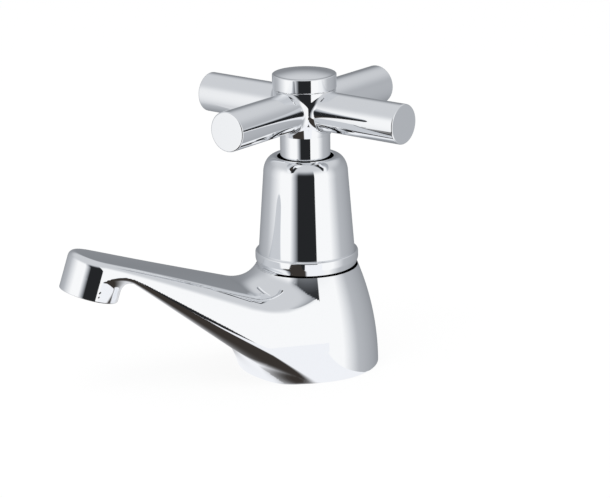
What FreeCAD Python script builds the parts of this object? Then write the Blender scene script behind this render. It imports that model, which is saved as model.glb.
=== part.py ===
import FreeCAD, Part
import math
import os
from FreeCAD import Placement, Rotation, Vector

# Cross handle basin tap, rising spindle type, closed. All lengths are in millimetres.
# The origin is the centre of the foot, on the deck. +Z is up and the spout points along -Y.

# Fits
THREAD_GAP = 0.05          # radial gap where a plain cylinder stands for a thread in its hole
SLIDE_GAP = 0.05           # radial gap of a running or sliding fit
SEAL_GAP = 0.05            # gap beside a soft ring

# Foot bell
FOOT_R = 23.6              # radius on the deck
BELL_ARC_R = 93.0          # radius of the arc that draws the bell's side in
BELL_H = 34.3              # height of the bell, where the shroud stands on it
NECK_R = 14.2              # threaded neck above the bell
NECK_H = 6.7

# Spout
SPOUT_RISE = 18.0          # degrees by which its top face rises outwards
SPOUT_TOP_Z = 22.5         # height of the top face's plane above the deck, on the tap's axis
SPOUT_REACH = 72.5         # from the tap's axis to the nozzle's axis, on the top face
SPOUT_FLARE_TOP = 2.3      # degrees by which each flank leaves the straight, at the top face
SPOUT_FLARE_LOW = 7.0      # and where the round keel begins
KEEL_SLOPE = 35.5          # degrees by which the keel falls from the nozzle towards the bell
KEEL_START = 0.6           # share of the spout's depth that the flat flanks take
SPOUT_THICK = 7.4          # depth of the spout behind the nozzle
SPOUT_EDGE_R = 2.4         # rounding round the top face
NECK_BLEND_R = 6.5         # hollow between the top face and the bell
KEEL_BLEND_R = 5.0         # hollow between the keel and the bell
NOZZLE_R = 9.8
NOZZLE_H = 13.2
NOZZLE_OVERLAP = 2.0       # the spout starts this far behind the nozzle's axis
NOZZLE_LAP = 0.25          # and this far inside the nozzle's side

# Waterways in the body
CHAMBER_R = 10.5           # valve chamber, also the headwork's threaded bore
CHAMBER_FLOOR_Z = 18.5
SEAT_Z = 20.0              # top of the seat's lip
SEAT_HOLE_R = 6.0
SEAT_LIP_W = 1.6
DUCT_W = 13.0              # spout duct, a flat slot with round sides
DUCT_H = 3.2
DUCT_START_Z = 20.6        # height of the duct's middle beside the seat's lip
DUCT_END_DEPTH = 3.4       # depth of the duct's middle below the top face, on the nozzle's axis
OUTLET_R = 7.8             # nozzle bore
OUTLET_ROOF = 2.0          # metal above the nozzle bore

# Tail and deck fixing
TAIL_R = 10.478            # half-inch pipe thread
TAIL_BORE_R = 7.0
TAIL_END_Z = -50.0
TAIL_TOP_Z = 12.0          # upper end, screwed into the foot
TAIL_CHAMFER = 1.0
SUPPLY_THREAD_L = 18.0     # free thread for the supply, up to the runout groove
GROOVE_W = 2.0
GROOVE_R = 9.3             # just under the root of the thread
TAIL_SEAL_T = 1.5
GASKET_IN_R = 15.0
GASKET_OUT_R = 20.0
GASKET_T = 3.0
DECK_T = 16.0              # thickness of the deck that the nut is drawn for
DECK_WASHER_R = 19.0
DECK_WASHER_T = 2.0
BACKNUT_AF = 30.0
BACKNUT_T = 8.0

# Headwork
HEADWORK_FOOT_Z = 27.0
HEADWORK_SKIRT_R = 9.0     # bore that leaves room for the jumper's plate
HEADWORK_SKIRT_Z = 32.5
HEADWORK_GASKET_T = 1.0
HEADWORK_GASKET_R = 13.0
HEADWORK_HEX_AF = 22.0
HEADWORK_HEX_T = 7.0
HEADWORK_TOP_Z = 62.0
HEADWORK_TOP_R = 7.6
THREAD_STOP_Z = 52.5       # roof of the spindle's threaded bore
STUFFING_FLOOR_Z = 56.0
STUFFING_R = 5.9
PACKING_T = 3.4
PACKING_WASHER_T = 1.0
GLAND_AF = 11.0
GLAND_HEAD_T = 4.0

# Jumper valve
WASHER_R = 8.2
WASHER_T = 4.0
JUMPER_RIM = 0.4           # by which the plate stands out over the washer
JUMPER_PLATE_T = 2.5
JUMPER_STEM_R = 2.8
JUMPER_STEM_H = 14.0
JUMPER_STUD_R = 2.0
JUMPER_NUT_AF = 8.0
JUMPER_NUT_T = 2.8
JUMPER_STUD_TAIL = 0.7     # stud left below the nut

# Spindle
SPINDLE_THREAD_R = 5.0
SPINDLE_LIFT = 5.2         # from its closed place up to the stop in the headwork
STEM_R = 3.9
SPLINE_FOOT_Z = 78.0
SPLINE_TOP_Z = 88.0
SPLINE_TIP_R = 4.0
SPLINE_ROOT_R = 3.55
SPLINE_TEETH = 20
STEM_BORE_SPARE = 1.0      # depth of the jumper's hole beyond its stem

# Shroud
SHROUD_WALL = 1.4
BEAD_R = 17.15             # largest radius of the bead at its foot
BEAD_FOOT_R = 16.4
BEAD_H = 5.2
BEAD_EDGE_R = 1.2
CONE_FOOT_R = 16.0
CONE_TOP_R = 14.05
CONE_TOP_Z = 66.0
MOUTH_R = 9.4
MOUTH_LIP_R = 10.2
SHROUD_TOP_Z = 71.8

# Handle
SLEEVE_R = 8.3
SLEEVE_BORE_R = 7.1
SLEEVE_FOOT_Z = 65.0
SLEEVE_LINE_Z = 79.3       # fine step at the top of the sleeve
HUB_FOOT_R = 8.6
HUB_MID_R = 10.2           # at the arms' axes
HUB_TOP_R = 10.4
HUB_TOP_Z = 94.6
ARM_Z = 87.9
ARM_R = 6.6
ARM_REACH = 40.3
ARM_TURN = 30.0            # degrees from the spout to the first arm
ARM_BLEND_R = 0.8
ARM_CHAMFER = 0.5
WEB_T = 2.5                # metal between the spindle's end and the screw

# Cap and screw
CAP_R = 10.6
CAP_H = 4.8
CAP_DOME = 1.6
CAP_EDGE_R = 0.8
CAP_SPIGOT_R = 8.4
CAP_SPIGOT_H = 3.4
CAP_HOLLOW_R = 5.6
CAP_HOLLOW_H = 5.4
CAP_RING_R = 0.6           # section of the soft ring in the spigot's groove
CAP_RING_Z = 1.6           # its middle, above the spigot's end
SCREW_R = 2.0
SCREW_HEAD_R = 3.5
SCREW_HEAD_H = 2.2
SCREW_SOCKET_AF = 2.5
SCREW_SOCKET_H = 1.2
SCREW_L = 12.0
SCREW_WASHER_R = 4.4
SCREW_WASHER_T = 0.8

# Nozzle insert
INSERT_RECESS = 1.5        # from the nozzle's rim up to the insert
INSERT_H = 3.6
INSERT_GAP = 0.1
INSERT_HOLE_R = 0.9
INSERT_HOLE_SIDES = 12     # flats that stand for each hole's round wall
INSERT_PITCH = 2.6
INSERT_RING_R = 0.6

# Heights that follow from the sizes above
NECK_TOP_Z = BELL_H + NECK_H
TAIL_SEAL_TOP_Z = TAIL_TOP_Z + TAIL_SEAL_T
HEX_Z = NECK_TOP_Z + HEADWORK_GASKET_T
HEX_TOP_Z = HEX_Z + HEADWORK_HEX_T
PLATE_Z = SEAT_Z + WASHER_T
PLATE_TOP_Z = PLATE_Z + JUMPER_PLATE_T
STEM_TOP_Z = PLATE_TOP_Z + JUMPER_STEM_H
SPINDLE_THREAD_TOP_Z = THREAD_STOP_Z - SPINDLE_LIFT
WEB_TOP_Z = SPLINE_TOP_Z + WEB_T
SCREW_HEAD_Z = WEB_TOP_Z + SCREW_WASHER_T
CAP_FOOT_Z = HUB_TOP_Z - CAP_SPIGOT_H


def outline(start, *steps):
    """Closed face in the XZ plane. A step is an end point, or an arc's middle and end points."""
    edges = []
    here = Vector(start[0], 0, start[1])
    for step in steps + (start,):
        end = Vector(step[-2], 0, step[-1])
        if len(step) == 4:
            middle = Vector(step[0], 0, step[1])
            edges.append(Part.Arc(here, middle, end).toShape())
        elif end.distanceToPoint(here) > 1e-6:
            edges.append(Part.LineSegment(here, end).toShape())
        here = end
    return Part.Face(Part.Wire(edges))


def turned(start, *steps):
    """Solid of revolution about the upright axis."""
    return outline(start, *steps).revolve(Vector(), Vector(0, 0, 1), 360)


def ring(inner, outer, low, high):
    return turned((inner, low), (outer, low), (outer, high), (inner, high))


def rod(radius, low, high):
    return Part.makeCylinder(radius, high - low, Vector(0, 0, low))


def soft_ring(outer, section, z):
    """Ring that reaches out to the outer radius. Its round section is drawn with six flats."""
    middle = outer - section * math.cos(math.pi / 6)
    points = []
    for k in range(6):
        turn = (k + 0.5) * math.pi / 3
        points.append((middle + section * math.cos(turn), z + section * math.sin(turn)))
    return turned(*points)


def corner_radius(across_flats):
    return across_flats / 2 / math.cos(math.radians(30))


def star(radii, low, high):
    """Upright prism whose corners take the given radii in turn."""
    points = []
    for k, radius in enumerate(radii):
        turn = 2 * math.pi * k / len(radii)
        points.append(Vector(radius * math.cos(turn), radius * math.sin(turn), low))
    points.append(points[0])
    return Part.Face(Part.makePolygon(points)).extrude(Vector(0, 0, high - low))


def hexagon(across_flats, low, high):
    return star([corner_radius(across_flats)] * 6, low, high)


def nut_block(across_flats, low, high):
    """Hexagon with the turned chamfers of a real nut at both ends."""
    corner = corner_radius(across_flats)
    flat = across_flats / 2
    drop = (corner - flat) * 0.6
    barrel = turned((0, low), (flat, low), (corner, low + drop), (corner, high - drop), (flat, high), (0, high))
    return hexagon(across_flats, low, high).common(barrel)


def bell_radius(z):
    return FOOT_R - BELL_ARC_R + math.sqrt(BELL_ARC_R ** 2 - z ** 2)


def spout_place():
    """Frame of the spout: origin on its top face at the nozzle's axis, +Y inwards, +Z out of the face."""
    height = SPOUT_TOP_Z + SPOUT_REACH * math.tan(math.radians(SPOUT_RISE))
    return Placement(Vector(0, -SPOUT_REACH, height), Rotation(Vector(1, 0, 0), -SPOUT_RISE))


def spout_depth(y):
    """Depth of the keel below the top face, in the spout's frame."""
    return SPOUT_THICK + (y - NOZZLE_R) * math.tan(math.radians(KEEL_SLOPE - SPOUT_RISE))


def spout_section(y):
    """Flat top with round corners, leaning flanks and a half-elliptic keel, in the spout's frame."""
    length = y - NOZZLE_OVERLAP
    end_half = math.sqrt(NOZZLE_R ** 2 - NOZZLE_OVERLAP ** 2) - NOZZLE_LAP
    top_half = end_half + length * math.tan(math.radians(SPOUT_FLARE_TOP))
    side_half = end_half + length * math.tan(math.radians(SPOUT_FLARE_LOW))
    depth = spout_depth(y)
    side = KEEL_START * depth
    slack = SPOUT_EDGE_R * (1 - math.sqrt(0.5))

    def corner(sign):
        return Part.Arc(
            Vector(sign * (top_half - SPOUT_EDGE_R), y, 0),
            Vector(sign * (top_half - slack), y, -slack),
            Vector(sign * top_half, y, -SPOUT_EDGE_R)).toShape()

    def flank(sign):
        return Part.LineSegment(
            Vector(sign * top_half, y, -SPOUT_EDGE_R),
            Vector(sign * side_half, y, -side)).toShape()

    top = Part.LineSegment(Vector(SPOUT_EDGE_R - top_half, y, 0), Vector(top_half - SPOUT_EDGE_R, y, 0)).toShape()
    middle = Vector(0, y, -side)
    ends = [middle + Vector(side_half, 0, 0), middle + Vector(0, 0, side - depth)]
    if side_half < depth - side:
        ends.reverse()
    ellipse = Part.Ellipse(ends[0], ends[1], middle)
    keel = []
    for sign in (1, -1):
        stops = sorted([ellipse.parameter(Vector(sign * side_half, y, -side)), ellipse.parameter(Vector(0, y, -depth))])
        if stops[1] - stops[0] > math.pi:
            stops = [stops[1], stops[0] + 2 * math.pi]
        keel.append(Part.Arc(ellipse, *stops).toShape())
    edges = [top, corner(1), flank(1), keel[0], keel[1], flank(-1), corner(-1)]
    return Part.Wire(Part.__sortEdges__(edges))


def spout():
    """Deepening bar that rises from the bell, with the round nozzle at its end, square to the top face."""
    root = SPOUT_REACH / math.cos(math.radians(SPOUT_RISE)) - CHAMBER_R / 2
    bar = Part.makeLoft([spout_section(NOZZLE_OVERLAP), spout_section(root)], True, True)
    slack = SPOUT_EDGE_R * (1 - math.sqrt(0.5))
    nozzle = turned(
        (0, -NOZZLE_H), (NOZZLE_R, -NOZZLE_H), (NOZZLE_R, -SPOUT_EDGE_R),
        (NOZZLE_R - slack, -slack, NOZZLE_R - SPOUT_EDGE_R, 0), (0, 0))
    solid = bar.fuse(nozzle)
    solid.Placement = spout_place()
    return solid


def bell():
    return turned(
        (0, 0), (FOOT_R, 0),
        (bell_radius(BELL_H / 2), BELL_H / 2, bell_radius(BELL_H), BELL_H), (0, BELL_H))


def junction_edges(solid, lowest, highest):
    """Edges where the spout leaves the bell, chosen by how deep they lie under the spout's top face."""
    side = max((f for f in solid.Faces if f.Surface.TypeId == "Part::GeomSurfaceOfRevolution"), key=lambda f: f.Area)
    place = spout_place().inverse()
    chosen = []
    for edge in side.Edges:
        middle = edge.CenterOfMass
        depth = -place.multVec(middle).z
        on_front = middle.y < 0 and 0 < middle.z < BELL_H
        if on_front and edge.Length < 2 * FOOT_R and lowest < depth < highest:
            chosen += [e for e in solid.Edges if e.isSame(edge)]
    return chosen


def duct():
    """Slot that leads the water from the valve chamber to the nozzle bore."""
    goal = spout_place().multVec(Vector(0, 0, -DUCT_END_DEPTH))
    start = Vector(0, -SEAT_HOLE_R - SEAT_LIP_W, DUCT_START_Z)
    path = goal - start
    half = (DUCT_W - DUCT_H) / 2
    lean = math.degrees(math.atan2(path.z, -path.y))
    slot = Part.makeBox(2 * half, path.Length, DUCT_H, Vector(-half, -path.Length, -DUCT_H / 2))
    for sign in (1, -1):
        slot = slot.fuse(Part.makeCylinder(DUCT_H / 2, path.Length, Vector(sign * half, 0, 0), Vector(0, -1, 0)))
    slot.Placement = Placement(start, Rotation(Vector(1, 0, 0), -lean))
    return slot


def body():
    """Foot, neck, spout and nozzle as one casting, with its valve seat and waterways."""
    solid = bell().fuse(spout()).removeSplitter().Solids[0]
    keel_depth = spout_depth(SPOUT_REACH - bell_radius(BELL_H)) * KEEL_START
    solid = solid.makeFillet(NECK_BLEND_R, junction_edges(solid, -1, SPOUT_EDGE_R))
    solid = solid.makeFillet(KEEL_BLEND_R, junction_edges(solid, keel_depth, 10 * keel_depth))
    solid = solid.fuse(rod(NECK_R, 0, NECK_TOP_Z))
    outlet = rod(OUTLET_R, -2 * NOZZLE_H, -OUTLET_ROOF)
    outlet.Placement = spout_place()
    chamber = turned(
        (0, TAIL_SEAL_TOP_Z), (SEAT_HOLE_R, TAIL_SEAL_TOP_Z), (SEAT_HOLE_R, SEAT_Z),
        (SEAT_HOLE_R + SEAT_LIP_W, SEAT_Z), (SEAT_HOLE_R + SEAT_LIP_W, CHAMBER_FLOOR_Z),
        (CHAMBER_R, CHAMBER_FLOOR_Z), (CHAMBER_R, NECK_TOP_Z), (0, NECK_TOP_Z))
    lip = ring(SEAT_HOLE_R, SEAT_HOLE_R + SEAT_LIP_W, CHAMBER_FLOOR_Z - 1, SEAT_Z)
    solid = solid.cut(duct()).cut(outlet).cut(chamber).fuse(lip)
    solid = solid.cut(rod(TAIL_R + THREAD_GAP, -1, TAIL_SEAL_TOP_Z))
    solid = solid.cut(ring(GASKET_IN_R - SEAL_GAP, GASKET_OUT_R + SEAL_GAP, -1, GASKET_T))
    return solid.removeSplitter()


def inlet_tail():
    """Tail through the deck: supply thread, runout groove and the thread of the nut, as plain cylinders."""
    thread_low = TAIL_END_Z + TAIL_CHAMFER
    groove_low = thread_low + SUPPLY_THREAD_L
    return turned(
        (TAIL_BORE_R, TAIL_END_Z), (TAIL_R - TAIL_CHAMFER, TAIL_END_Z), (TAIL_R, thread_low),
        (TAIL_R, groove_low), (GROOVE_R, groove_low), (GROOVE_R, groove_low + GROOVE_W),
        (TAIL_R, groove_low + GROOVE_W), (TAIL_R, TAIL_TOP_Z), (TAIL_BORE_R, TAIL_TOP_Z))


def tail_seal():
    return ring(TAIL_BORE_R, TAIL_R - SEAL_GAP, TAIL_TOP_Z, TAIL_SEAL_TOP_Z)


def base_gasket():
    return ring(GASKET_IN_R, GASKET_OUT_R, 0, GASKET_T)


def deck_washer():
    return ring(TAIL_R + SLIDE_GAP, DECK_WASHER_R, -DECK_T - DECK_WASHER_T, -DECK_T)


def backnut():
    top = -DECK_T - DECK_WASHER_T
    return nut_block(BACKNUT_AF, top - BACKNUT_T, top).cut(rod(TAIL_R + THREAD_GAP, top - 2 * BACKNUT_T, 0))


def headwork_body():
    """Valve guide: threaded plug, hexagon and the stuffing box, with the spindle's stepped bore."""
    shell = turned(
        (HEADWORK_SKIRT_R, HEADWORK_FOOT_Z), (CHAMBER_R - THREAD_GAP, HEADWORK_FOOT_Z),
        (CHAMBER_R - THREAD_GAP, HEX_Z), (HEADWORK_TOP_R, HEX_Z), (HEADWORK_TOP_R, HEADWORK_TOP_Z),
        (STUFFING_R, HEADWORK_TOP_Z), (STUFFING_R, STUFFING_FLOOR_Z), (STEM_R + SLIDE_GAP, STUFFING_FLOOR_Z),
        (STEM_R + SLIDE_GAP, THREAD_STOP_Z), (SPINDLE_THREAD_R + SLIDE_GAP, THREAD_STOP_Z),
        (SPINDLE_THREAD_R + SLIDE_GAP, HEADWORK_SKIRT_Z), (HEADWORK_SKIRT_R, HEADWORK_SKIRT_Z))
    hexagonal = nut_block(HEADWORK_HEX_AF, HEX_Z, HEX_TOP_Z).cut(rod(HEADWORK_TOP_R - 1, HEX_Z - 1, HEX_TOP_Z + 1))
    return shell.fuse(hexagonal).removeSplitter()


def headwork_gasket():
    return ring(CHAMBER_R, HEADWORK_GASKET_R, NECK_TOP_Z, HEX_Z)


def gland_packing():
    return ring(STEM_R + SEAL_GAP, STUFFING_R - SEAL_GAP, STUFFING_FLOOR_Z, STUFFING_FLOOR_Z + PACKING_T)


def packing_washer():
    low = STUFFING_FLOOR_Z + PACKING_T
    return ring(STEM_R + SLIDE_GAP, STUFFING_R - SLIDE_GAP, low, low + PACKING_WASHER_T)


def gland_nut():
    """Hexagon with a threaded spigot that presses the packing down."""
    low = STUFFING_FLOOR_Z + PACKING_T + PACKING_WASHER_T
    head = nut_block(GLAND_AF, HEADWORK_TOP_Z, HEADWORK_TOP_Z + GLAND_HEAD_T)
    solid = head.fuse(rod(STUFFING_R - THREAD_GAP, low, HEADWORK_TOP_Z + 1))
    return solid.cut(rod(STEM_R + SLIDE_GAP, low - 1, HEADWORK_TOP_Z + 2 * GLAND_HEAD_T)).removeSplitter()


def spindle():
    """Threaded foot, plain stem and serrated end, bored for the jumper's stem and the handle's screw."""
    solid = turned(
        (0, PLATE_TOP_Z), (SPINDLE_THREAD_R, PLATE_TOP_Z), (SPINDLE_THREAD_R, SPINDLE_THREAD_TOP_Z),
        (STEM_R, SPINDLE_THREAD_TOP_Z), (STEM_R, SPLINE_FOOT_Z), (0, SPLINE_FOOT_Z))
    teeth = star([SPLINE_TIP_R, SPLINE_ROOT_R] * SPLINE_TEETH, SPLINE_FOOT_Z, SPLINE_TOP_Z)
    solid = solid.fuse(teeth)
    solid = solid.cut(rod(JUMPER_STEM_R + SLIDE_GAP, PLATE_TOP_Z - 1, STEM_TOP_Z + STEM_BORE_SPARE))
    return solid.cut(rod(SCREW_R + THREAD_GAP, SCREW_HEAD_Z - SCREW_L - 1, SPLINE_TOP_Z + 1))


def jumper_valve():
    """Plate with its guide stem above and the washer's stud below."""
    stud_foot = SEAT_Z - JUMPER_NUT_T - JUMPER_STUD_TAIL
    return turned(
        (0, stud_foot), (JUMPER_STUD_R, stud_foot), (JUMPER_STUD_R, PLATE_Z), (WASHER_R + JUMPER_RIM, PLATE_Z),
        (WASHER_R + JUMPER_RIM, PLATE_TOP_Z), (JUMPER_STEM_R, PLATE_TOP_Z), (JUMPER_STEM_R, STEM_TOP_Z),
        (0, STEM_TOP_Z))


def tap_washer():
    return ring(JUMPER_STUD_R + SEAL_GAP, WASHER_R, SEAT_Z, PLATE_Z)


def jumper_nut():
    low = SEAT_Z - JUMPER_NUT_T
    return nut_block(JUMPER_NUT_AF, low, SEAT_Z).cut(rod(JUMPER_STUD_R + THREAD_GAP, low - 1, SEAT_Z + 1))


def shroud():
    """Thin tapered cover with a beaded foot, screwed on the neck, and a rounded shoulder round its mouth."""
    bead_top = BELL_H + BEAD_H
    slack = BEAD_EDGE_R * (1 - math.sqrt(0.5))
    bend = math.sqrt(0.5)
    shoulder = (
        MOUTH_LIP_R + (CONE_TOP_R - MOUTH_LIP_R) * bend,
        CONE_TOP_Z + (SHROUD_TOP_Z - CONE_TOP_Z) * bend)
    return turned(
        (NECK_R + THREAD_GAP, BELL_H), (BEAD_FOOT_R, BELL_H),
        (BEAD_R, BELL_H + BEAD_H / 2),
        (BEAD_R, bead_top - BEAD_EDGE_R),
        (BEAD_R - slack, bead_top - slack, BEAD_R - BEAD_EDGE_R, bead_top),
        (CONE_FOOT_R, bead_top), (CONE_TOP_R, CONE_TOP_Z),
        (shoulder[0], shoulder[1], MOUTH_LIP_R, SHROUD_TOP_Z),
        (MOUTH_R, SHROUD_TOP_Z - 0.3), (MOUTH_R, SHROUD_TOP_Z - SHROUD_WALL),
        (CONE_TOP_R - SHROUD_WALL, CONE_TOP_Z - SHROUD_WALL),
        (CONE_FOOT_R - SHROUD_WALL, NECK_TOP_Z), (NECK_R + THREAD_GAP, NECK_TOP_Z))


def cross_handle():
    """Hub with four round arms and the long sleeve that goes down into the shroud's mouth."""
    spare = 4 * ARM_BLEND_R
    solid = turned(
        (0, SLEEVE_FOOT_Z), (SLEEVE_R, SLEEVE_FOOT_Z), (SLEEVE_R, SLEEVE_LINE_Z), (HUB_FOOT_R, SLEEVE_LINE_Z),
        (HUB_MID_R, ARM_Z, HUB_TOP_R, HUB_TOP_Z + spare), (0, HUB_TOP_Z + spare))
    solid.rotate(Vector(), Vector(0, 0, 1), ARM_TURN + 45)
    arms = turned(
        (0, -ARM_REACH), (ARM_R - ARM_CHAMFER, -ARM_REACH), (ARM_R, ARM_CHAMFER - ARM_REACH),
        (ARM_R, ARM_REACH - ARM_CHAMFER), (ARM_R - ARM_CHAMFER, ARM_REACH), (0, ARM_REACH))
    for turn in (ARM_TURN, ARM_TURN + 90):
        pair = arms.copy()
        pair.Placement = Placement(Vector(0, 0, ARM_Z), Rotation(turn, 0, 90))
        solid = solid.fuse(pair)
    solid = solid.removeSplitter().Solids[0]
    roots = [e for e in solid.Edges if ARM_Z - 1 < e.CenterOfMass.z < ARM_Z + 1
             and HUB_FOOT_R / 2 < math.hypot(e.CenterOfMass.x, e.CenterOfMass.y) < ARM_REACH / 2]
    solid = solid.makeFillet(ARM_BLEND_R, roots)
    solid = solid.cut(rod(ARM_REACH, HUB_TOP_Z, HUB_TOP_Z + 2 * spare))
    solid = solid.cut(rod(SLEEVE_BORE_R, SLEEVE_FOOT_Z - 1, SPLINE_FOOT_Z))
    tip = SPLINE_TIP_R + SLIDE_GAP
    root = SPLINE_ROOT_R + SLIDE_GAP
    solid = solid.cut(star([tip, root] * SPLINE_TEETH, SPLINE_FOOT_Z - 1, SPLINE_TOP_Z))
    solid = solid.cut(rod(SCREW_R + SLIDE_GAP, SPLINE_TOP_Z - 1, WEB_TOP_Z + 1))
    return solid.cut(rod(CAP_SPIGOT_R + SLIDE_GAP, WEB_TOP_Z, HUB_TOP_Z + 1))


def index_cap():
    """Plain round cap with a low dome, a hollow spigot and a groove for its soft ring."""
    side_top = HUB_TOP_Z + CAP_H
    slack = CAP_EDGE_R * (1 - math.sqrt(0.5))
    dome_r = ((CAP_R - CAP_EDGE_R) ** 2 + CAP_DOME ** 2) / (2 * CAP_DOME)
    half = (CAP_R - CAP_EDGE_R) / 2
    dome_mid_z = side_top + CAP_DOME - dome_r + math.sqrt(dome_r ** 2 - half ** 2)
    ring_z = CAP_FOOT_Z + CAP_RING_Z
    groove_r = CAP_SPIGOT_R - 2 * CAP_RING_R
    groove_half = CAP_RING_R + SEAL_GAP
    return turned(
        (CAP_HOLLOW_R, CAP_FOOT_Z), (CAP_SPIGOT_R, CAP_FOOT_Z), (CAP_SPIGOT_R, ring_z - groove_half),
        (groove_r, ring_z - groove_half), (groove_r, ring_z + groove_half), (CAP_SPIGOT_R, ring_z + groove_half),
        (CAP_SPIGOT_R, HUB_TOP_Z), (CAP_R, HUB_TOP_Z), (CAP_R, side_top - CAP_EDGE_R),
        (CAP_R - slack, side_top - slack, CAP_R - CAP_EDGE_R, side_top),
        (half, dome_mid_z, 0, side_top + CAP_DOME),
        (0, CAP_FOOT_Z + CAP_HOLLOW_H), (CAP_HOLLOW_R, CAP_FOOT_Z + CAP_HOLLOW_H))


def cap_o_ring():
    return soft_ring(CAP_SPIGOT_R, CAP_RING_R, CAP_FOOT_Z + CAP_RING_Z)


def handle_screw():
    """Cap screw with a hexagon socket, through the handle's web into the spindle."""
    top = SCREW_HEAD_Z + SCREW_HEAD_H
    solid = rod(SCREW_HEAD_R, SCREW_HEAD_Z, top).fuse(rod(SCREW_R, SCREW_HEAD_Z - SCREW_L, SCREW_HEAD_Z + 1))
    return solid.cut(hexagon(SCREW_SOCKET_AF, top - SCREW_SOCKET_H, top + 1)).removeSplitter()


def screw_washer():
    return ring(SCREW_R + SLIDE_GAP, SCREW_WASHER_R, WEB_TOP_Z, SCREW_HEAD_Z)


def flow_straightener():
    """Drilled plug near the nozzle's rim, grooved for its soft ring."""
    low = INSERT_RECESS - NOZZLE_H
    high = low + INSERT_H
    middle = (low + high) / 2
    radius = OUTLET_R - INSERT_GAP
    groove_r = OUTLET_R - 2 * INSERT_RING_R - SEAL_GAP
    groove_half = INSERT_RING_R + SEAL_GAP
    solid = turned(
        (0, low), (radius, low), (radius, middle - groove_half), (groove_r, middle - groove_half),
        (groove_r, middle + groove_half), (radius, middle + groove_half), (radius, high), (0, high))
    drills = []
    for row in range(-2, 3):
        for place in range(5 - abs(row)):
            x = (place - (4 - abs(row)) / 2) * INSERT_PITCH
            y = row * INSERT_PITCH * math.cos(math.radians(30))
            drill = star([INSERT_HOLE_R] * INSERT_HOLE_SIDES, low - 1, high + 1)
            drill.translate(Vector(x, y, 0))
            drills.append(drill)
    solid = solid.cut(drills)
    solid.Placement = spout_place()
    return solid


def straightener_o_ring():
    solid = soft_ring(OUTLET_R - SEAL_GAP, INSERT_RING_R, INSERT_RECESS + INSERT_H / 2 - NOZZLE_H)
    solid.Placement = spout_place()
    return solid


PIECES = [
    body, shroud, headwork_body, headwork_gasket, gland_packing, packing_washer, gland_nut, spindle,
    jumper_valve, tap_washer, jumper_nut, cross_handle, index_cap, cap_o_ring, handle_screw, screw_washer,
    flow_straightener, straightener_o_ring, inlet_tail, tail_seal, base_gasket, deck_washer, backnut]

os.makedirs("parts", exist_ok=True)
for piece in PIECES:
    shape = piece()
    shape.exportStep("parts/" + piece.__name__ + ".step")
    print(piece.__name__, len(shape.Solids), shape.isValid(), round(shape.Volume, 1))
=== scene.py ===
import math

import bmesh
import bpy
import numpy as np
from mathutils import Matrix, Vector


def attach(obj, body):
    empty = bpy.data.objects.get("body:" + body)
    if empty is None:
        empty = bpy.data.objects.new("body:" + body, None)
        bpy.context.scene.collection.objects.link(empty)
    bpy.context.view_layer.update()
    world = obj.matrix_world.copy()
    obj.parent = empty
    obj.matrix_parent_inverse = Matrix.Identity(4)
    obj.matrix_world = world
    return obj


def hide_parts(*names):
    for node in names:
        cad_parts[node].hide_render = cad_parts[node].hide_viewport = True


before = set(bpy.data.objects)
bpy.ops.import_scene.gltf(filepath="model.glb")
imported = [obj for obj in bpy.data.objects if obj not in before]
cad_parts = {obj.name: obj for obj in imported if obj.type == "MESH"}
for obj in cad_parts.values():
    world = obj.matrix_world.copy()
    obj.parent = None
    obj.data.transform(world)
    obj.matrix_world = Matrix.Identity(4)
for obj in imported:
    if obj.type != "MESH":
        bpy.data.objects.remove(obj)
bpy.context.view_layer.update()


# Body: foot bell, rising spout and nozzle in one brass casting, ground, polished and chrome plated.
# The spout's flanks run from the nozzle into the bell's sides, and its keel deepens towards the foot.
# The thin plate is bright and slightly blue, with faint waves from polishing and dull marks from wiping.
MM = 0.001
PLATE_COLOUR = (0.93, 0.94, 0.955, 1)
PLATE_ROUGHNESS = (0.018, 0.05)
WIPE_SCALE = 90.0
POLISH_SCALE = 55.0
POLISH_STRENGTH = 0.012
POLISH_DEPTH = 0.0002
FOOT_R = 23.6
BELL_ARC_R = 93.0
BELL_H = 34.3
NECK_R = 14.2
NECK_TOP = 41.0
SPOUT_RISE = math.radians(18.0)
SPOUT_TOP_Z = 22.5
SPOUT_REACH = 72.5
NOZZLE_R = 9.8
NOZZLE_H = 13.2
FLANK_FLARE = math.radians(3.0)
ROOT_FLARE = math.radians(7.0)
ROOT_SOFTNESS = 5.0
TOP_EDGE = ((0, 50, 62, 70), (2.2, 4.0, 3.0, 1.0))
TOP_CROWN = 0.004
KEEL_START_DEPTH = 4.6
KEEL_SLOPE = math.tan(math.radians(20.5))
KEEL_COSINE = math.cos(math.radians(20.5))
KEEL_EDGE = ((2, 14, 60), (0.02, 2.0, 7.0))
NOZZLE_HOLLOW_R = 5.0
NECK_HOLLOW_R = 8.0
KEEL_HOLLOW_R = 6.0
FOOT_EDGE_R = 0.5
RIM_EDGE_R = 0.35
OUTLET_R = 7.8
OUTLET_ROOF = 2.0
KEEL_LEAST_DEPTH = 1.5
NOZZLE_SPARE = 2.0
KEEL_HOLLOW_REACH = 6.0
FRONT_FADE = 10.0
SEAM_R = 0.02
BODY_GRID = 0.48
GASKET_BAND = (14.95, 20.05, 3.0)
TAIL_SOCKET = (10.528, 13.5)
SEAT = (6.0, 7.6, 20.0)
CHAMBER = (10.5, 18.5)
TURNED_STEPS = 192


def new_material(name, colour, metallic, roughness):
    material = bpy.data.materials.new(name)
    material.use_nodes = True
    shader = material.node_tree.nodes["Principled BSDF"]
    shader.inputs["Base Color"].default_value = colour
    shader.inputs["Metallic"].default_value = metallic
    shader.inputs["Roughness"].default_value = roughness
    return material, material.node_tree, shader


def noise_of(tree, scale, detail):
    place = tree.nodes.new("ShaderNodeTexCoord")
    noise = tree.nodes.new("ShaderNodeTexNoise")
    noise.inputs["Scale"].default_value = scale
    noise.inputs["Detail"].default_value = detail
    tree.links.new(place.outputs["Object"], noise.inputs["Vector"])
    return noise.outputs["Fac"]


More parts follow.
